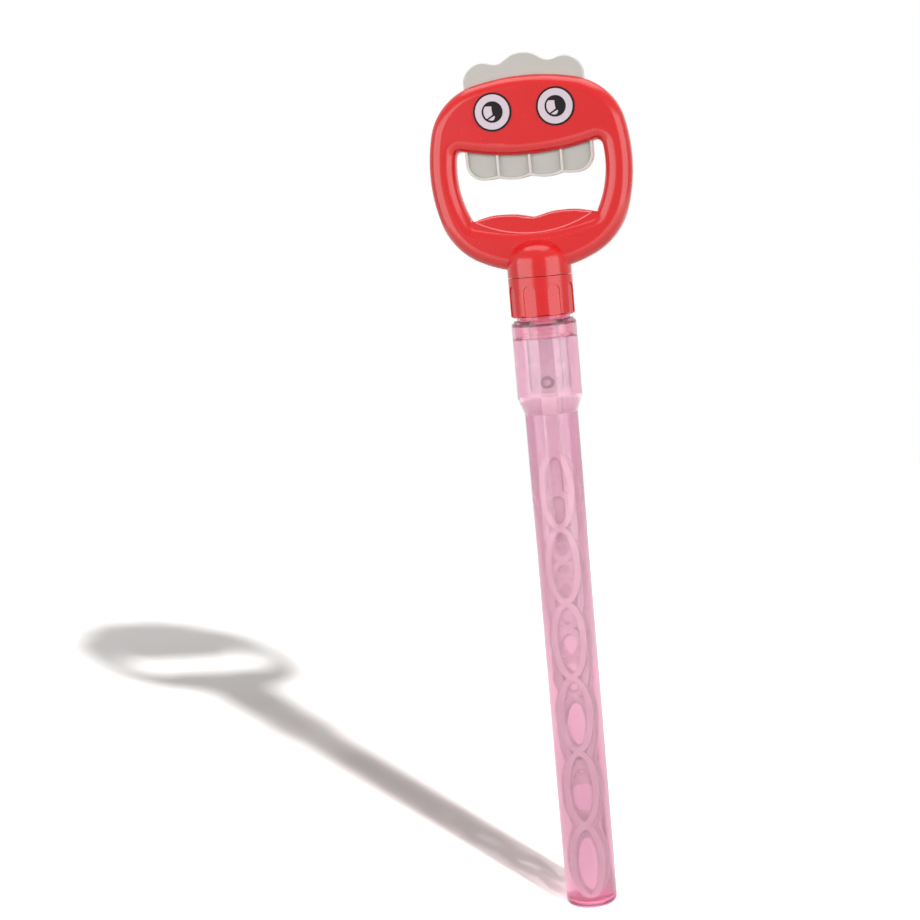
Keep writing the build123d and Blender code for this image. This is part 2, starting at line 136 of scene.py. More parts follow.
class BlowerSizes(bpy.types.PropertyGroup):
    """Sizes of the pieces that are made here."""

    level: length_property("Solution level", "Height of the solution in the tube", 0.2945)
    wall_overlap: length_property("Wall overlap", "How far the solution wets into the tube's wall", 0.00004)
    meniscus: length_property("Meniscus", "Rise of the solution at the wall", 0.0008)
    rim_tooth_pitch: length_property("Rim tooth pitch", "Spacing of the fine teeth in a loop", 0.00095)
    rim_tooth_width: length_property("Rim tooth width", "Width of one fine tooth at its foot", 0.00050)
    rim_tooth_height: length_property("Rim tooth height", "Height of one fine tooth", 0.00075)
    lip_bead_radius: length_property("Lip bead", "Radius of the bead round the lip's panel", 0.00036)
    pupil_radius: length_property("Pupil radius", "Radius of the dark pupil", 0.00535)
    print_thickness: length_property("Print thickness", "Thickness of the eye prints", 0.00006)
    thread_height: length_property("Thread height", "How far the thread stands out of the mouth", 0.00042)
    thread_pitch: length_property("Thread pitch", "Rise of the thread in one turn", 0.0030)
    bubble_count: IntProperty(
        name="Bubbles", description="Small bubbles at the solution's edge", default=120, min=0
    )
    bubble_radius: length_property("Bubble radius", "Mean radius of a bubble", 0.00045)


class BlowerStage(bpy.types.PropertyGroup):
    """Camera and lights."""

    camera_distance: length_property("Camera distance", "From the blower's axis to the lens", 1.15)
    camera_height: length_property("Camera height", "Height of the lens above the floor", 0.3477)
    camera_azimuth: angle_property("Azimuth", "Camera's place round the axis", 8.72)
    camera_swing: angle_property("Swing", "Turn of the lens off the axis", 2.419)
    camera_pitch: angle_property("Pitch", "Tilt of the lens below level", 5.534)
    camera_roll: angle_property("Roll", "Roll of the lens", 5.03)
    focal_pixels: FloatProperty(
        name="Focal length", description="In pixels of the photograph", subtype="PIXEL", default=2260.5
    )
    photo_pixels: FloatProperty(
        name="Photograph width", description="In pixels", subtype="PIXEL", default=920.0
    )
    floor_radius: length_property("Floor radius", "Radius of the floor disc", 3.0)
    floor_lift: FloatProperty(
        name="Floor lift", description="How much paler the floor looks than it is", default=8.5
    )
    key_power: power_property("Key lamp", "Power of the small key lamp", 7.5)
    floor_key: FloatProperty(
        name="Floor key", description="More of the key lamp for the floor alone, as a share", default=0.4
    )
    key_radius: length_property("Key radius", "Radius of the key lamp, which blurs the shadow", 0.029)
    key_place: FloatVectorProperty(
        name="Key place", description="Where the key lamp hangs",
        subtype="TRANSLATION", default=(0.636, -1.054, 0.900),
    )
    side_power: power_property("Side lamps", "Power of each large side lamp", 15.5)
    overhead_power: power_property("Overhead lamp", "Power of the lamp overhead", 15.0)
    rear_power: power_property("Rear lamp", "Power of the lamp behind the blower", 20.0)
    world_fill: FloatProperty(
        name="World fill", description="Strength of the surroundings on matt surfaces", default=0.045
    )


def settings():
    """The three groups of settings on the scene."""
    scene = bpy.context.scene
    return scene.blower_colours, scene.blower_sizes, scene.blower_stage


class Shader:
    """Small helper that adds, feeds and links the nodes of one tree."""

    def __init__(self, tree):
        self.tree = tree

    def node(self, kind, **values):
        """A new node with some of its own settings."""
        made = self.tree.nodes.new(kind)
        for key, value in values.items():
            setattr(made, key, value)
        return made

    def link(self, source, target):
        """Link an output to an input."""
        self.tree.links.new(source, target)

    def feed(self, socket, value):
        """Link an output to a socket, or set the socket to a constant."""
        if isinstance(value, bpy.types.NodeSocket):
            self.link(value, socket)
        else:
            socket.default_value = value

    def value(self, node, **sockets):
        """Feed a node's inputs by their names, written with _ for a blank, and return the node."""
        for name, value in sockets.items():
            self.feed(node.inputs[name.replace("_", " ")], value)
        return node

    def math(self, operation, *values):
        """Output of a math node that is fed these values in order."""
        made = self.node("ShaderNodeMath", operation=operation)
        for socket, value in zip(made.inputs, values):
            self.feed(socket, value)
        return made.outputs[0]

    def mix(self, share, first, second):
        """Shader that goes from the first to the second as the share goes from 0 to 1."""
        made = self.node("ShaderNodeMixShader")
        for socket, value in zip(made.inputs, (share, first, second)):
            self.feed(socket, value)
        return made.outputs["Shader"]

    def place(self):
        """Object coordinates of the shaded point."""
        return self.node("ShaderNodeTexCoord").outputs["Object"]

    def part(self, vector, axis):
        """The X, Y or Z part of a vector."""
        return self.value(self.node("ShaderNodeSeparateXYZ"), Vector=vector).outputs[axis]

    def noise(self, place, scale, **sockets):
        """Noise at a place, from 0 to 1."""
        made = self.value(self.node("ShaderNodeTexNoise"), Vector=place, Scale=scale, **sockets)
        return made.outputs["Fac"]


def new_material(name):
    """An empty node material with its output; returns (material, helper, output node)."""
    material = bpy.data.materials.new(name)
    material.use_nodes = True
    material.node_tree.nodes.clear()
    shader = Shader(material.node_tree)
    return material, shader, shader.node("ShaderNodeOutputMaterial")


def rgba(colour):
    """A colour with full alpha."""
    return (*colour, 1.0)


def moulded_group():
    """Group for moulded plastic: slow colour drift, fine skin, handling haze and hairline scratches."""
    name = "moulded skin"
    if name in bpy.data.node_groups:
        return bpy.data.node_groups[name]
    group = bpy.data.node_groups.new(name, "ShaderNodeTree")
    colour, number = "NodeSocketColor", "NodeSocketFloat"
    inlets = {"Colour": colour, "Drift": number, "Roughness": number, "Haze": number, "Grain scale": number}
    outlets = {"Colour": colour, "Roughness": number, "Height": number}
    for labels, way in ((inlets, "INPUT"), (outlets, "OUTPUT")):
        for label, kind in labels.items():
            group.interface.new_socket(label, in_out=way, socket_type=kind)
    s = Shader(group)
    given = s.node("NodeGroupInput").outputs
    place = s.place()
    slow = s.noise(place, 26.0, Detail=2.0)
    fine = s.noise(place, given["Grain scale"], Detail=3.0, Roughness=0.6)
    drawn_out = s.node("ShaderNodeMapping")
    s.value(drawn_out, Vector=place, Rotation=(0.4, 0.2, 0.9), Scale=(900.0, 60.0, 900.0))
    scratch = s.noise(drawn_out.outputs["Vector"], 1.0, Detail=1.0)
    drift = s.math("MULTIPLY_ADD", s.math("SUBTRACT", slow, 0.5), given["Drift"], 1.0)
    tone = s.value(s.node("ShaderNodeHueSaturation"), Value=drift, Color=given["Colour"])
    haze = s.math("MULTIPLY_ADD", slow, given["Haze"], given["Roughness"])
    hairline = s.value(s.node("ShaderNodeMapRange"), Value=scratch, From_Min=0.66, From_Max=0.74, To_Max=0.10)
    rough = s.math("ADD", haze, hairline.outputs["Result"])
    s.value(s.node("NodeGroupOutput"), Colour=tone.outputs["Color"], Roughness=rough, Height=fine)
    return group


def moulded_plastic(
    name, colour, roughness, gloss=0.5, drift=0.05, haze=0.08, grain=900.0, bump=0.02,
    sheen_through=0.0, seam=False, rims=False,
):
    """Solid moulded plastic with a gloss of its own, a seam where the piece has one, and, with rims, painted
    shade on flat faces and painted highlight on rims and rounded edges.
    """
    material, s, output = new_material(name)
    skin = s.node("ShaderNodeGroup", node_tree=moulded_group())
    s.value(skin, Colour=rgba(colour), Drift=drift, Roughness=roughness, Haze=haze, Grain_scale=grain)
    tone, height = skin.outputs["Colour"], skin.outputs["Height"]
    # rims: painted shade on the flat faces, painted highlight on the raised rims and rounded edges
    if rims:
        tone = pale_rims(s, tone)
    if seam:
        height = parting_line(s, height)
    bumps = s.value(s.node("ShaderNodeBump"), Strength=bump, Distance=0.0002, Height=height)
    principled = s.value(
        s.node("ShaderNodeBsdfPrincipled"),
        Base_Color=tone,
        Roughness=skin.outputs["Roughness"],
        Normal=bumps.outputs["Normal"],
        IOR=1.5,
        Specular_IOR_Level=gloss,
        Subsurface_Weight=sheen_through,
        Subsurface_Radius=(0.004, 0.003, 0.003),
        Subsurface_Scale=0.6,
    )
    s.link(principled.outputs["BSDF"], output.inputs["Surface"])
    return material


def ramp(s, value, start, end, low=0.0, high=1.0):
    """A smooth step from low to high while a value goes from start to end."""
    step = s.node("ShaderNodeMapRange", interpolation_type="SMOOTHSTEP")
    s.value(step, Value=value, From_Min=start, From_Max=end, To_Min=low, To_Max=high)
    return step.outputs["Result"]


def pale_rims(s, colour):
    """Paint shade on a plate's flat faces beside its raised rims, and paint highlight on the rims and rounded
    edges, which come out paler.
    """
    seen = s.node("ShaderNodeTexCoord").outputs
    depth = s.math("ABSOLUTE", s.part(seen["Object"], "Y"))
    facing = s.math("ABSOLUTE", s.part(seen["Normal"], "Y"))
    raised = ramp(s, depth, 2.0 * MM, 2.8 * MM)
    rounded = ramp(s, facing, 0.80, 0.98, 1.0, 0.0)
    # Painted shade (0.85) on the flat faces, painted highlight (1.10) on the rims and rounded edges.
    shade = ramp(s, s.math("MAXIMUM", raised, rounded), 0.0, 1.0, 0.85, 1.10)
    return s.value(s.node("ShaderNodeHueSaturation"), Value=shade, Color=colour).outputs["Color"]


def parting_line(s, height):
    """Lower the skin's height in a hairline at y = 0, where the two shells meet."""
    half_width, drop = 0.22 * MM, 30.0
    away = s.math("ABSOLUTE", s.part(s.place(), "Y"))
    line = s.value(s.node("ShaderNodeMapRange"), Value=away, From_Max=half_width, To_Min=-drop, To_Max=0.0)
    return s.math("ADD", line.outputs["Result"], height)


def tube_tint(s, colours, level):
    """Colour of the tube by height: deeper in its thick base, and deeper on the wet wall and at its collar by
    painted reflection of the red cap and plug.
    """
    place = s.place()
    ripple, ripple_height = s.noise(place, 260.0, Detail=2.0), 2.2 * MM
    height = s.math("MULTIPLY_ADD", ripple, ripple_height, s.part(place, "Z"))
    zones = (
        (4.5 * MM, 8.0 * MM, colours.tube),
        (STEP_BOTTOM, STEP_TOP - 1.0 * MM, colours.tube_neck),
        # The wet band over the solution and the collar under the cap are deeper by painted reflection of the
        # red cap and plug.
        (level + 0.4 * MM, level + 2.0 * MM, colours.tube_dry),
        (SHOULDER - 0.3 * MM, SHOULDER + 1.1 * MM, colours.tube_collar),
    )
    tone = rgba(colours.tube_base)
    for start, end, colour in zones:
        zone = s.node("ShaderNodeMix", data_type="RGBA")
        s.feed(zone.inputs[6], tone)
        s.feed(zone.inputs[7], rgba(colour))
        s.feed(zone.inputs["Factor"], ramp(s, height, start, end))
        tone = zone.outputs[2]
    return tone


def clear_plastic(name, colour, roughness, ior, shade, milk, milk_colour, tint=None):
    """Clear moulded plastic that lets lamp light through, tinted by shade, with a share of milkiness."""
    material, s, output = new_material(name)
    skin = s.node("ShaderNodeGroup", node_tree=moulded_group())
    s.value(skin, Colour=rgba(colour), Drift=0.03, Roughness=roughness, Haze=0.04, Grain_scale=260.0)
    if tint:
        s.feed(skin.inputs["Colour"], tint(s))
    bumps = s.value(s.node("ShaderNodeBump"), Strength=0.03, Distance=0.0003, Height=skin.outputs["Height"])
    glass = s.value(
        s.node("ShaderNodeBsdfPrincipled"),
        Base_Color=skin.outputs["Colour"],
        Roughness=skin.outputs["Roughness"],
        Normal=bumps.outputs["Normal"],
        IOR=ior,
        Transmission_Weight=1.0,
    )
    cloudy = s.node("ShaderNodeBsdfPrincipled")
    s.value(cloudy, Base_Color=rgba(milk_colour), Roughness=0.35, IOR=ior)
    lit_through(s, s.mix(milk, glass.outputs["BSDF"], cloudy.outputs["BSDF"]), shade, output)
    return material


def liquid(name, colour, shade):
    """Clear liquid or film that lets lamp light through, tinted by shade."""
    material, s, output = new_material(name)
    drift = ramp(s, s.noise(s.place(), 40.0, Detail=1.0), 0.3, 0.7, 0.98, 1.02)
    tone = s.value(s.node("ShaderNodeHueSaturation"), Color=rgba(colour), Value=drift).outputs["Color"]
    glass = s.node("ShaderNodeBsdfPrincipled")
    s.value(glass, Base_Color=tone, Roughness=0.0, IOR=1.33, Transmission_Weight=1.0)
    lit_through(s, glass.outputs["BSDF"], shade, output)
    return material


def lit_through(s, surface, shade, output):
    """Put a surface on the output, but let lamp light pass it as if it were plainly see-through."""
    through = s.value(s.node("ShaderNodeBsdfTransparent"), Color=rgba(shade)).outputs["BSDF"]
    shadow_ray = s.node("ShaderNodeLightPath").outputs["Is Shadow Ray"]
    s.link(s.mix(shadow_ray, surface, through), output.inputs["Surface"])


def seen_by_lens(s):
    """1 for what the camera sees, straight or through or in a surface, and 0 for light on matt surfaces."""
    path = s.node("ShaderNodeLightPath").outputs
    straight = s.math("MAXIMUM", path["Is Camera Ray"], path["Is Transmission Ray"])
    return s.math("MAXIMUM", straight, path["Is Glossy Ray"])


def dress(node, material):
    """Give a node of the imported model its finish."""
    slots = NODES[node].data.materials
    slots.clear()
    slots.append(material)


def mesh_object(name, build, material, body):
    """A new piece whose mesh is filled by build(bm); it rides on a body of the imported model."""
    mesh = bpy.data.meshes.new(name)
    bm = bmesh.new()
    build(bm)
    bmesh.ops.recalc_face_normals(bm, faces=bm.faces)
    bm.to_mesh(mesh)
    bm.free()
    return settle(name, mesh, material, body)


def settle(name, mesh, material, body, smooth=True):
    """Link a finished mesh as a piece that rides on a body."""
    if not mesh.polygons:
        raise RuntimeError(name + " has no faces")
    mesh.name = name
    piece = bpy.data.objects.new(name, mesh)
    bpy.context.scene.collection.objects.link(piece)
    mesh.materials.clear()
    mesh.materials.append(material)
    mesh.polygons.foreach_set("use_smooth", [smooth] * len(mesh.polygons))
    if smooth:
        mesh.set_sharp_from_angle(angle=math.radians(35))
    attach(piece, body)
    return piece


def lathe(bm, profile, segments=96):
    """Turn a profile of (radius, height) points about Z; zero radii close to one point."""
    rings = []
    for radius, height in profile:
        if radius <= 0:
            rings.append([bm.verts.new((0, 0, height))])
        else:
            steps = [2 * math.pi * i / segments for i in range(segments)]
            rings.append([bm.verts.new((radius * math.cos(a), radius * math.sin(a), height)) for a in steps])
    for low, high in zip(rings, rings[1:]):
        for i in range(segments):
            j = (i + 1) % segments
            corners = [low[i % len(low)], low[j % len(low)], high[j % len(high)], high[i % len(high)]]
            unique = list(dict.fromkeys(corners))
            if len(unique) > 2:
                bm.faces.new(unique)


class BLOWER_OT_finishes(bpy.types.Operator):
    """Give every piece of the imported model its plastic."""

    bl_idname = "blower.finishes"
    bl_label = "Plastics"

    def execute(self, context):
        colours, sizes, _ = settings()
        self.solid_pieces(colours)
        self.clear_pieces(colours, sizes)
        return {"FINISHED"}

    @staticmethod
    def solid_pieces(colours):
        """Handle, cap, plate, eyes, plug, liner and arms."""
        red = moulded_plastic("handle plastic", colours.handle, 0.16, drift=0.06, haze=0.07, seam=True)
        dress("handle_front_shell", red)
        dress("handle_rear_shell", red)
        dress("screw_cap", moulded_plastic("cap plastic", colours.handle, 0.20, drift=0.06, haze=0.08))
        # The plate gets painted shade on its flat faces and painted highlight on its rims.
        white = moulded_plastic(
            "plate plastic", colours.plate, 0.30, drift=0.04, haze=0.1, sheen_through=0.15, rims=True
        )
        dress("hair_and_teeth_plate", white)
        dark = moulded_plastic("eye rim plastic", colours.dark, 0.35, gloss=0.12)
        pale = moulded_plastic("eye plastic", colours.eye, 0.22, drift=0.03)
        for side in ("left", "right"):
            dress(side + "_eye_rim", dark)
            dress(side + "_eye_disc", pale)
        dress("sleeve_plug", moulded_plastic("plug plastic", colours.plug, 0.3))
        dress("cap_liner", moulded_plastic("liner foam", colours.liner, 0.85, bump=0.4, grain=2600.0))
        arm = moulded_plastic("arm plastic", colours.arm, 0.34, drift=0.05, bump=0.05, sheen_through=0.5)
        for index in range(1, 6):
            dress("arm_" + str(index), arm)

    @staticmethod
    def clear_pieces(colours, sizes):
        """Tube, sleeve and pin, each with a share of milk."""
        colourless = (0.95, 0.94, 0.95)
        pin = clear_plastic("pin plastic", colours.sleeve, 0.05, 1.34, colourless, 0.07, colours.arm)
        dress("pivot_pin", pin)
        sleeve = clear_plastic("sleeve plastic", colours.sleeve, 0.05, 1.37, colourless, 0.16, colours.arm)
        dress("sleeve_front", sleeve)
        dress("sleeve_rear", sleeve)
        shade, milk = (0.67, 0.66, 0.655), (0.66, 0.33, 0.45)
        tint = lambda s: tube_tint(s, colours, sizes.level)
        dress("tube", clear_plastic("tube plastic", colours.tube, 0.08, 1.45, shade, 0.10, milk, tint))


class BLOWER_OT_solution(bpy.types.Operator):
    """Fill the tube with bubble solution up to its level."""

    bl_idname = "blower.solution"
    bl_label = "Solution"

    def execute(self, context):
        colours, sizes, _ = settings()
        profile = self.foot(sizes.wall_overlap) + self.step(sizes.wall_overlap) + self.surface(sizes)
        material = liquid("bubble solution", colours.solution, (0.94, 0.93, 0.925))
        mesh_object("bubble_solution", lambda bm: lathe(bm, profile), material, "bottle")
        return {"FINISHED"}

    @staticmethod
    def foot(grow):
        """The rounded foot of the bore, from the axis to the wall."""
        low, steps = BORE_FLOOR - grow, 6
        centre = BORE_FOOT_RADIUS + grow - BORE_FLOOR_ROUND
        points = [(0, low)]
        for index in range(steps + 1):
            angle = math.pi / 2 * index / steps
            radius = centre + BORE_FLOOR_ROUND * math.sin(angle)
            points.append((radius, low + BORE_FLOOR_ROUND * (1 - math.cos(angle))))
        return points

    @staticmethod
    def step(grow):
        """The bore's step to the wide neck, eased at both ends."""
        ease = 0.9 * MM
        top, neck = BORE_TOP_RADIUS + grow, BORE_NECK_RADIUS + grow
        return [
            (top, STEP_BOTTOM - ease),
            (top + 0.25 * MM, STEP_BOTTOM + 0.6 * MM),
            (neck - 0.35 * MM, STEP_TOP - ease),
            (neck, STEP_TOP + ease),
        ]

    @staticmethod
    def surface(sizes):
        """The meniscus at the wall and the level surface inside it."""
        reach = 2.4 * MM
        meniscus_shares = ((0.125, 0.55), (0.5, 0.15), (1, 0))
        points = [(BORE_NECK_RADIUS + sizes.wall_overlap, sizes.level + sizes.meniscus)]
        for inward, up in meniscus_shares:
            points.append((BORE_NECK_RADIUS - inward * reach, sizes.level + up * sizes.meniscus))
        return points + [(0, sizes.level)]


def loops_of(arm_index):
    """Inner rims of an arm's equal loops as (centre height, half width, half height); arm 3 is smooth."""
    if arm_index == 3:
        return []
    stem = OUTER_STEM if arm_index in (1, 5) else INNER_STEM
    pitch = (ARM_LENGTH - stem) / LOOP_COUNT
    neck = LOOP_NECK_SHARE * LOOP_WIDTH
    loops = []
    for place in range(LOOP_COUNT):
        start = stem + place * pitch - neck
        end = ARM_LENGTH if place == LOOP_COUNT - 1 else stem + (place + 1) * pitch + neck
        centre = PIN_HEIGHT - (start + end) / 2
        loops.append((centre, LOOP_WIDTH / 2 - LOOP_STRIP, (end - start) / 2 - LOOP_STRIP))
    return loops


def new_grower(name, numbers):
    """An empty Geometry Nodes tree with these number inputs; returns (tree, helper, given values)."""
    tree = bpy.data.node_groups.new(name, "GeometryNodeTree")
    tree.interface.new_socket("Geometry", in_out="INPUT", socket_type="NodeSocketGeometry")
    for label, kind in numbers.items():
        tree.interface.new_socket(label, in_out="INPUT", socket_type=kind)
    tree.interface.new_socket("Geometry", in_out="OUTPUT", socket_type="NodeSocketGeometry")
    s = Shader(tree)
    return tree, s, s.node("NodeGroupInput").outputs


def make_real(s, copies, material):
    """Turn a tree's copies into a real mesh of one material and put it out."""
    real = s.value(s.node("GeometryNodeRealizeInstances"), Geometry=copies.outputs["Instances"])
    paint = s.node("GeometryNodeSetMaterial")
    s.value(paint, Geometry=real.outputs["Geometry"], Material=material)
    s.value(s.node("NodeGroupOutput"), Geometry=paint.outputs["Geometry"])


def rim_teeth_tree(material):
    """Geometry Nodes tree that sets small teeth along each loop's inner rim, pointing inwards."""
    labels = ("Pitch", "Width", "Height", "Thickness")
    tree, s, given = new_grower("loop teeth", dict.fromkeys(labels, "NodeSocketFloat"))
    across, half_diagonal = (0, 1, 0), 0.7071
    curve = s.value(s.node("GeometryNodeMeshToCurve"), Mesh=given["Geometry"])
    evenly = s.node("GeometryNodeResampleCurve", mode="LENGTH")
    s.value(evenly, Curve=curve.outputs["Curve"], Length=given["Pitch"])
    tooth = s.node("GeometryNodeMeshCone")
    s.value(tooth, Vertices=4, Radius_Top=0.25, Radius_Bottom=half_diagonal, Depth=1.0)
    turned = s.node("GeometryNodeTransform")
    s.value(turned, Geometry=tooth.outputs["Mesh"], Rotation=(0, 0, math.pi / 4))
    inward = s.node("ShaderNodeVectorMath", operation="CROSS_PRODUCT")
    s.feed(inward.inputs[0], s.node("GeometryNodeInputTangent").outputs["Tangent"])
    s.feed(inward.inputs[1], across)
    point_in = s.node("FunctionNodeAlignRotationToVector", axis="Z")
    s.value(point_in, Vector=inward.outputs["Vector"])
    square_up = s.node("FunctionNodeAlignRotationToVector", axis="Y", pivot_axis="Z")
    s.value(square_up, Rotation=point_in.outputs["Rotation"], Vector=across)
    size = s.value(s.node("ShaderNodeCombineXYZ"), X=given["Width"], Y=given["Thickness"], Z=given["Height"])
    teeth = s.node("GeometryNodeInstanceOnPoints")
    s.value(teeth, Points=evenly.outputs["Curve"], Instance=turned.outputs["Geometry"])
    s.value(teeth, Rotation=square_up.outputs["Rotation"], Scale=size.outputs["Vector"])
    make_real(s, teeth, material)
    return tree


def set_inputs(modifier, tree, values):
    """Set a modifier's inputs by the identifiers of their sockets."""
    for item in tree.interface.items_tree:
        if item.in_out == "INPUT" and item.name in values:
            modifier[item.identifier] = values[item.name]


def grown(name, guide, tree, values):
    """Plain mesh of a tree that runs on a guide mesh; the guide is removed."""
    carrier = bpy.data.objects.new(name + "_guide", guide)
    bpy.context.scene.collection.objects.link(carrier)
    modifier = carrier.modifiers.new("tree", "NODES")
    modifier.node_group = tree
    set_inputs(modifier, tree, values)
    view = bpy.context.evaluated_depsgraph_get()
    mesh = bpy.data.meshes.new_from_object(carrier.evaluated_get(view))
    bpy.data.objects.remove(carrier)
    return mesh


class BLOWER_OT_loop_teeth(bpy.types.Operator):
    """Set the fine teeth that hold the solution along the inner rims of the loops."""

    bl_idname = "blower.loop_teeth"
    bl_label = "Loop teeth"

    def execute(self, context):
        sizes = settings()[1]
        material = bpy.data.materials["arm plastic"]
        tree = rim_teeth_tree(material)
        for arm_index in (1, 2, 4, 5):
            arm = "arm_" + str(arm_index)
            low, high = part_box(arm)
            sink = sizes.rim_tooth_height * 0.30
            guide = self.rims(loops_of(arm_index), (low.y + high.y) / 2, sink)
            values = {
                "Pitch": sizes.rim_tooth_pitch,
                "Width": sizes.rim_tooth_width,
                "Height": sizes.rim_tooth_height,
                "Thickness": (high.y - low.y) * 0.92,
            }
            mesh = grown(arm + "_loop_teeth", guide, tree, values)
            settle(arm + "_loop_teeth", mesh, material, arm + "_body", smooth=False)
        return {"FINISHED"}

    @staticmethod
    def rims(loops, depth, sink, steps=120):
        """Guide mesh of the loops' rims at y = depth, drawn in so that the teeth overlap the strip."""
        verts, edges = [], []
        for centre, half_width, half_height in loops:
            first = len(verts)
            for step in range(steps):
                angle = 2 * math.pi * step / steps
                x = (half_width - sink) * math.cos(angle)
                verts.append((x, depth, centre + (half_height - sink) * math.sin(angle)))
                edges.append((first + step, first + (step + 1) % steps))
        guide = bpy.data.meshes.new("rims")
        guide.from_pydata(verts, edges, [])
        return guide


def flat_shape(bm, outline, front, thickness):
    """A thin plate of an outline of (x, z) points, its face at y = front, towards -Y."""
    face = bm.faces.new([bm.verts.new((x, front, z)) for x, z in outline])
    grown_faces = bmesh.ops.extrude_face_region(bm, geom=[face])
    moved = [item for item in grown_faces["geom"] if isinstance(item, bmesh.types.BMVert)]
    bmesh.ops.translate(bm, verts=moved, vec=(0, thickness, 0))


def circle_points(x, z, radius, count=64):
    """Points round a circle in the XZ plane."""
    angles = [2 * math.pi * index / count for index in range(count)]
    return [(x + radius * math.cos(angle), z + radius * math.sin(angle)) for angle in angles]


class BLOWER_OT_lip(bpy.types.Operator):
    """Blend the lip's panel into the jaw and run its fine bead, on both faces of the handle."""

    bl_idname = "blower.lip"
    bl_label = "Lip"

    def execute(self, context):
        colours, sizes, _ = settings()
        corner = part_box("handle_front_shell")[1].z - HANDLE_TOP_TO_CORNER
        red = bpy.data.materials["handle plastic"]
        # The bead's paler red is painted highlight along the panel's edge.
        painted_highlight_red = moulded_plastic("lip bead painted highlight", colours.lip_bead, 0.14, gloss=0.8)
        blend, thick = self.blend_outline(corner), 2.85 * MM
        path, radius = self.bead_path(corner), sizes.lip_bead_radius
        sides = {"front": (-5.85 * MM, -6.0 * MM), "rear": (5.85 * MM - thick, 6.0 * MM)}
        for side, (near, depth) in sides.items():
            plate = lambda bm: flat_shape(bm, blend, near, thick)
            mesh_object(side + "_lip_blend", plate, red, "wand")
            bead = lambda bm: closed_bead(bm, path, depth, radius)
            mesh_object(side + "_lip_bead", bead, painted_highlight_red, "wand")
        return {"FINISHED"}

    @staticmethod
    def blend_outline(corner):
        """Outline of the blend: a bowl below, and just under the lip's two humps above."""
        across = across_lip(33.0 * MM)
        low = [(x, bowl_height(x, 32.3 * MM, 4.2 * MM, corner - 6.5 * MM)) for x in across]
        return low + [(x, corner + hump_height(x) - 0.15 * MM) for x in reversed(across)]

    @staticmethod
    def bead_path(corner):
        """Path of the bead: a deeper bowl below, and the humps above, which stop short of its ends."""
        across, short = across_lip(30.0 * MM), 8
        low = [(x, bowl_height(x, 34.0 * MM, 10.3 * MM, corner - 6.3 * MM)) for x in across]
        return low + [(x, corner + hump_height(x) - 0.8 * MM) for x in reversed(across[short:-short])]


def across_lip(reach, steps=120):
    """Even places from one side of the lip to the other."""
    return [reach * (2 * index / steps - 1) for index in range(steps + 1)]


def bowl_height(x, half_chord, sagitta, lowest):
    """Height of a round bowl at x, from its half chord, its sagitta and its lowest place."""
    radius = (half_chord**2 + sagitta**2) / (2 * sagitta)
    return lowest + radius - math.sqrt(radius**2 - x**2)


def hump_height(x):
    """Height of the lip's two humps over the opening's corners at x."""
    place = min(abs(x) / LIP_HALF_WIDTH, 1)
    for (a, low), (b, high) in zip(LIP_SHARES, LIP_SHARES[1:]):
        if place <= b:
            return LIP_HEIGHT * (low + (high - low) * (place - a) / (b - a))
    return 0.0


def closed_bead(bm, path, depth, radius, sides=10):
    """A round bead along a closed path of (x, z) points, its middle at y = depth."""
    rings = []
    count = len(path)
    for index, (x, z) in enumerate(path):
        before, after = path[index - 1], path[(index + 1) % count]
        along = Vector((after[0] - before[0], after[1] - before[1])).normalized()
        ring = []
        for side in range(sides):
            angle = 2 * math.pi * side / sides
            out = radius * math.cos(angle)
            deep = radius * math.sin(angle)
            ring.append(bm.verts.new((x - along.y * out, depth + deep, z + along.x * out)))
        rings.append(ring)
    for index in range(count):
        a, b = rings[index], rings[(index + 1) % count]
        for side in range(sides):
            other = (side + 1) % sides
            bm.faces.new((a[side], a[other], b[other], b[side]))


class BLOWER_OT_eyes(bpy.types.Operator):
    """Print the pupils and their glints on the eyes."""

    bl_idname = "blower.eyes"
    bl_label = "Eye prints"

    def execute(self, context):
        sizes = settings()[1]
        dark = bpy.data.materials["eye rim plastic"]
        pale = bpy.data.materials["eye plastic"]
        thick = sizes.print_thickness
        radius = sizes.pupil_radius
        for side in ("left", "right"):
            low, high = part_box(side + "_eye_disc")
            x, z, front = (low.x + high.x) / 2, (low.z + high.z) / 2, low.y
            pupil = lambda bm: flat_shape(bm, circle_points(x, z, radius), front - thick, thick)
            mesh_object(side + "_pupil", pupil, dark, "wand")
            glints = lambda bm: self.glints(bm, x, z, radius, front - 2 * thick, thick)
            mesh_object(side + "_glints", glints, pale, "wand")
        return {"FINISHED"}

    @staticmethod
    def glints(bm, x, z, radius, front, thick):
        """A D-shaped window with a slanting foot, and a small second glint below it."""
        window = [(-0.03, 0.52), (-0.04, 0.25), (-0.01, -0.03), (0.03, -0.25), (-0.55, -0.60), (-0.70, -0.44)]
        window += [(-0.80, -0.20), (-0.83, 0.08), (-0.77, 0.34), (-0.68, 0.49), (-0.57, 0.57)]
        small = [(-0.44, -0.70), (0.17, -0.38), (0.23, -0.44), (0.22, -0.54), (0.10, -0.75), (-0.10, -0.80)]
        for shape in (window, small):
            flat_shape(bm, [(x + across * radius, z + up * radius) for across, up in shape], front, thick)


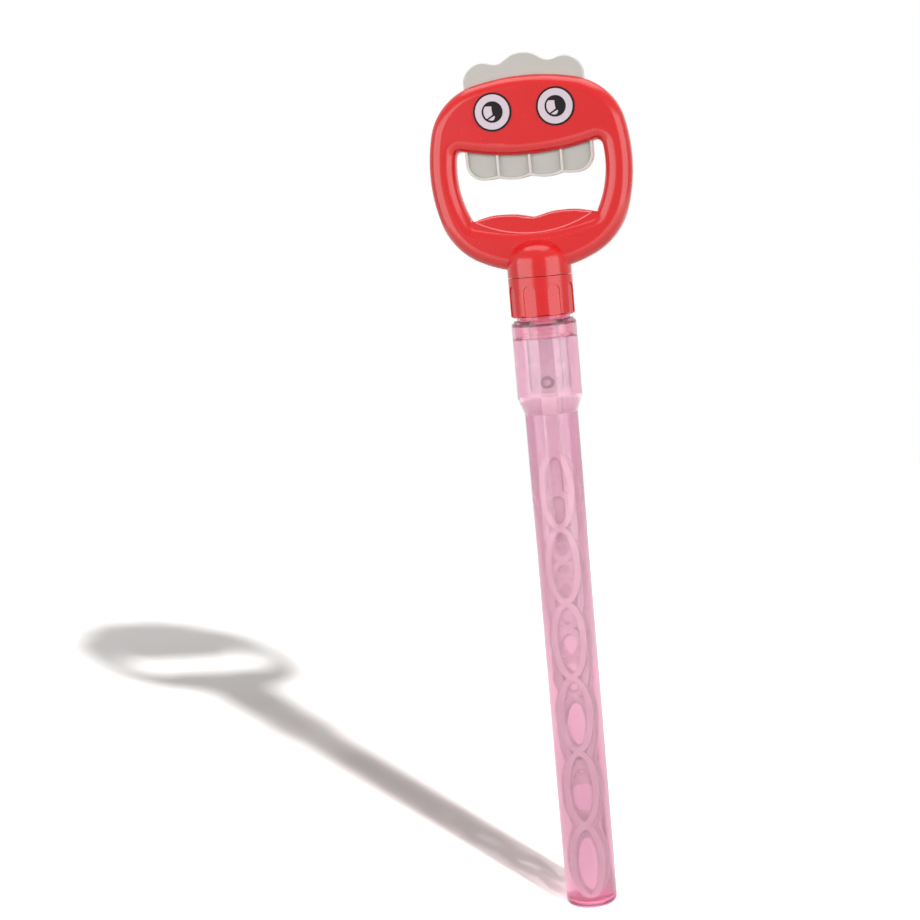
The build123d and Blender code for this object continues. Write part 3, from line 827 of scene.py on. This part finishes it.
class BLOWER_OT_thread(bpy.types.Operator):
    """Wind the thread on the tube's mouth, under the cap."""

    bl_idname = "blower.thread"
    bl_label = "Mouth thread"

    def execute(self, context):
        sizes = settings()[1]
        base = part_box("tube")[1].z - 9.0 * MM
        build = lambda bm: self.wind(bm, base, sizes.thread_height, sizes.thread_pitch)
        mesh_object("mouth_thread", build, bpy.data.materials["tube plastic"], "bottle")
        return {"FINISHED"}

    @staticmethod
    def wind(bm, base, height, pitch, turns=1.6, steps=180):
        """A helical ridge that fades out at both ends."""
        half_width, fade_rate = 0.6 * MM, 8
        section_shares = ((-0.02, -0.9), (1.0, -0.35), (1.0, 0.35), (-0.02, 0.9))
        rows = []
        for step in range(steps + 1):
            share = step / steps
            angle = 2 * math.pi * turns * share
            fade = min(1.0, fade_rate * share, fade_rate * (1 - share))
            row = []
            for out, up in section_shares:
                radius = MOUTH_RADIUS + height * out * (fade if out > 0 else 1)
                z = base + pitch * turns * share + up * half_width
                row.append(bm.verts.new((radius * math.cos(angle), radius * math.sin(angle), z)))
            rows.append(row)
        for a, b in zip(rows, rows[1:]):
            for i in range(4):
                j = (i + 1) % 4
                bm.faces.new((a[i], a[j], b[j], b[i]))
        bm.faces.new(rows[0][::-1])
        bm.faces.new(rows[-1])


class BLOWER_OT_bubbles(bpy.types.Operator):
    """Scatter small bubbles round the edge of the solution."""

    bl_idname = "blower.bubbles"
    bl_label = "Bubbles"

    def execute(self, context):
        colours, sizes, _ = settings()
        guide = bpy.data.meshes.new("bubble places")
        guide.from_pydata(self.places(sizes), [], [])
        material = liquid("bubble film", colours.bubble, (0.98, 0.93, 0.95))
        mesh = grown("bubbles", guide, self.tree(material), {"Radius": sizes.bubble_radius, "Seed": 3})
        settle("solution_bubbles", mesh, material, "bottle")
        return {"FINISHED"}

    @staticmethod
    def places(sizes):
        """Most bubbles lie at the wall just over the level, every third one further in and higher."""
        rng = random.Random(7)
        wall = 14.1 * MM
        places = []
        for index in range(sizes.bubble_count):
            angle = rng.uniform(0, 2 * math.pi)
            reach = wall if index % 3 else rng.uniform(10.0, 13.5) * MM
            rise = rng.uniform(0.2, 6.5) if index % 3 == 0 else rng.uniform(0.0, 1.3)
            places.append((reach * math.cos(angle), reach * math.sin(angle), sizes.level + rise * MM))
        return places

    @staticmethod
    def tree(material):
        """Geometry Nodes tree that sets a small ball of random size on each point."""
        numbers = {"Radius": "NodeSocketFloat", "Seed": "NodeSocketInt"}
        tree, s, given = new_grower("small bubbles", numbers)
        ball = s.value(s.node("GeometryNodeMeshIcoSphere"), Radius=1.0, Subdivisions=3)
        spread = s.value(s.node("FunctionNodeRandomValue", data_type="FLOAT"), Seed=given["Seed"])
        s.feed(spread.inputs[2], 0.45)
        s.feed(spread.inputs[3], 1.35)
        copies = s.node("GeometryNodeInstanceOnPoints")
        s.value(copies, Points=given["Geometry"], Instance=ball.outputs["Mesh"])
        s.value(copies, Scale=s.math("MULTIPLY", spread.outputs[1], given["Radius"]))
        make_real(s, copies, material)
        return tree


def softbox(name, azimuth, elevation, width, height, power):
    """A rectangular lamp that faces the blower from a direction round it, given in degrees."""
    data = bpy.data.lights.new(name, "AREA")
    data.shape = "RECTANGLE"
    data.size, data.size_y = width, height
    data.energy = power
    lamp = bpy.data.objects.new(name, data)
    a, e = math.radians(azimuth), math.radians(elevation)
    back = Vector((math.sin(a) * math.cos(e), -math.cos(a) * math.cos(e), math.sin(e)))
    lamp.location = Vector(SOFTBOX_TARGET) + back * SOFTBOX_DISTANCE
    lamp.rotation_mode = "QUATERNION"
    lamp.rotation_quaternion = (-back).to_track_quat("-Z", "Y")
    bpy.context.scene.collection.objects.link(lamp)
    return lamp


class BLOWER_OT_stage(bpy.types.Operator):
    """Set up the floor, the white surroundings, the lamps and the camera."""

    bl_idname = "blower.stage"
    bl_label = "Stage"

    def execute(self, context):
        colours, _, stage = settings()
        scene = context.scene
        self.camera(scene, stage)
        self.floor(colours, stage)
        self.world(scene, stage)
        self.key(stage)
        self.softboxes(stage)
        scene.view_settings.view_transform = "Standard"
        return {"FINISHED"}

    @staticmethod
    def key(stage):
        """The small near key lamp, even over any distance, and its twin for the floor alone."""
        alone = bpy.data.collections.new("floor alone")
        alone.objects.link(bpy.data.objects["floor"])
        for name, share in (("key", 1.0), ("floor_key", stage.floor_key)):
            data = bpy.data.lights.new(name, "POINT")
            data.energy = stage.key_power * share
            data.shadow_soft_size = stage.key_radius
            data.use_nodes = True
            s = Shader(data.node_tree)
            even = s.value(s.node("ShaderNodeLightFalloff"), Strength=1.0).outputs["Constant"]
            s.value(data.node_tree.nodes["Emission"], Strength=even)
            lamp = bpy.data.objects.new(name, data)
            lamp.location = stage.key_place
            lamp.visible_glossy = False
            bpy.context.scene.collection.objects.link(lamp)
            if name == "floor_key":
                lamp.light_linking.receiver_collection = alone

    @staticmethod
    def softboxes(stage):
        """The large lamps, which spare the floor, so only the key lamp draws a shadow there."""
        right_power = stage.side_power * 0.88
        lamps = (
            softbox("left_side", -46, 4, 1.44, 1.15, stage.side_power),
            softbox("right_side", 60, 4, 1.27, 1.15, right_power),
            softbox("overhead", -10, 95, 1.5, 1.3, stage.overhead_power),
            softbox("rear", 180, 10, 1.6, 1.2, stage.rear_power),
        )
        rear = lamps[-1]
        rear.visible_camera = False
        rear.visible_glossy = False
        rear.visible_transmission = False
        spared = bpy.data.collections.new("softboxes spare the floor")
        spared.objects.link(bpy.data.objects["floor"])
        spared.collection_objects[0].light_linking.link_state = "EXCLUDE"
        for lamp in lamps:
            lamp.light_linking.receiver_collection = spared

    @staticmethod
    def camera(scene, stage):
        """The camera at the photograph's place, from its fitted distance, height and turn."""
        data = bpy.data.cameras.new("camera")
        data.sensor_width = 36.0
        data.lens = stage.focal_pixels / stage.photo_pixels * data.sensor_width
        data.clip_start, data.clip_end = 0.01, 50.0
        camera = bpy.data.objects.new("camera", data)
        azimuth = stage.camera_azimuth
        turn = Matrix.Rotation(azimuth + stage.camera_swing, 4, "Z")
        tilt = Matrix.Rotation(math.pi / 2 - stage.camera_pitch, 4, "X")
        roll = Matrix.Rotation(-stage.camera_roll, 4, "Z")
        place = Vector((math.sin(azimuth), -math.cos(azimuth), 0)) * stage.camera_distance
        place.z = stage.camera_height
        camera.matrix_world = Matrix.Translation(place) @ turn @ tilt @ roll
        scene.collection.objects.link(camera)
        scene.camera = camera

    @staticmethod
    def floor(colours, stage):
        """A pale floor disc, paler to the lens than it is, that fades into the white surroundings."""
        mesh = bpy.data.meshes.new("floor")
        bm = bmesh.new()
        bmesh.ops.create_circle(bm, cap_ends=True, radius=stage.floor_radius, segments=128)
        bm.to_mesh(mesh)
        bm.free()
        plane = bpy.data.objects.new("floor", mesh)
        plane.location.z = -0.2 * MM
        bpy.context.scene.collection.objects.link(plane)
        material, s, output = new_material("floor paper")
        mesh.materials.append(material)
        away = s.node("ShaderNodeVectorMath", operation="LENGTH")
        s.feed(away.inputs[0], s.place())
        distance = away.outputs["Value"]
        # The lift grows with distance: it keeps the far floor white, and paints the far shadow lighter.
        lift, far_lift = stage.floor_lift, stage.floor_lift * 1.6
        lifted = s.node("ShaderNodeVectorMath", operation="SCALE")
        s.feed(lifted.inputs[0], colours.floor)
        s.value(lifted, Scale=ramp(s, distance, 0.2, 1.2, lift, far_lift))
        paper = s.value(s.node("ShaderNodeBsdfDiffuse"), Color=rgba(colours.floor))
        seen = s.value(s.node("ShaderNodeBsdfDiffuse"), Color=lifted.outputs["Vector"])
        clear = s.node("ShaderNodeBsdfTransparent")
        pale = s.mix(seen_by_lens(s), paper.outputs["BSDF"], seen.outputs["BSDF"])
        faded = s.mix(ramp(s, distance, 1.2, 2.0), pale, clear.outputs["BSDF"])
        s.link(faded, output.inputs["Surface"])

    @staticmethod
    def world(scene, stage):
        """White surroundings for the camera, glossy and clear surfaces, and a softer fill for the rest."""
        world = bpy.data.worlds.new("studio")
        scene.world = world
        world.use_nodes = True
        world.node_tree.nodes.clear()
        s = Shader(world.node_tree)
        fill = s.value(s.node("ShaderNodeBackground"), Color=(1, 0.995, 0.99, 1), Strength=stage.world_fill)
        seen = s.value(s.node("ShaderNodeBackground"), Color=(1, 1, 1, 1), Strength=1.0)
        shown = s.mix(seen_by_lens(s), fill.outputs["Background"], seen.outputs["Background"])
        s.link(shown, s.node("ShaderNodeOutputWorld").inputs["Surface"])


class BLOWER_PT_panel(bpy.types.Panel):
    """Steps that dress the blower, in order."""

    bl_idname = "BLOWER_PT_panel"
    bl_label = "Bubble Blower"
    bl_space_type = "VIEW_3D"
    bl_region_type = "UI"
    bl_category = "Blower"

    def draw(self, context):
        for step in STEPS:
            self.layout.operator(step.bl_idname)
        for group in settings():
            box = self.layout.box()
            for name in group.bl_rna.properties.keys():
                if name not in ("rna_type", "name"):
                    box.prop(group, name)


STEPS = (
    BLOWER_OT_finishes,
    BLOWER_OT_solution,
    BLOWER_OT_loop_teeth,
    BLOWER_OT_lip,
    BLOWER_OT_eyes,
    BLOWER_OT_thread,
    BLOWER_OT_bubbles,
    BLOWER_OT_stage,
)
GROUPS = {"blower_colours": BlowerColours, "blower_sizes": BlowerSizes, "blower_stage": BlowerStage}


def register():
    for kind in (*GROUPS.values(), *STEPS, BLOWER_PT_panel):
        bpy.utils.register_class(kind)
    for name, group in GROUPS.items():
        setattr(bpy.types.Scene, name, PointerProperty(type=group))


def unregister():
    for name in GROUPS:
        delattr(bpy.types.Scene, name)
    for kind in (BLOWER_PT_panel, *reversed(STEPS), *reversed(tuple(GROUPS.values()))):
        bpy.utils.unregister_class(kind)


def main():
    """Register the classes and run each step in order."""
    register()
    for step in STEPS:
        family, name = step.bl_idname.split(".")
        getattr(getattr(bpy.ops, family), name)()


if __name__ == "__main__":
    main()
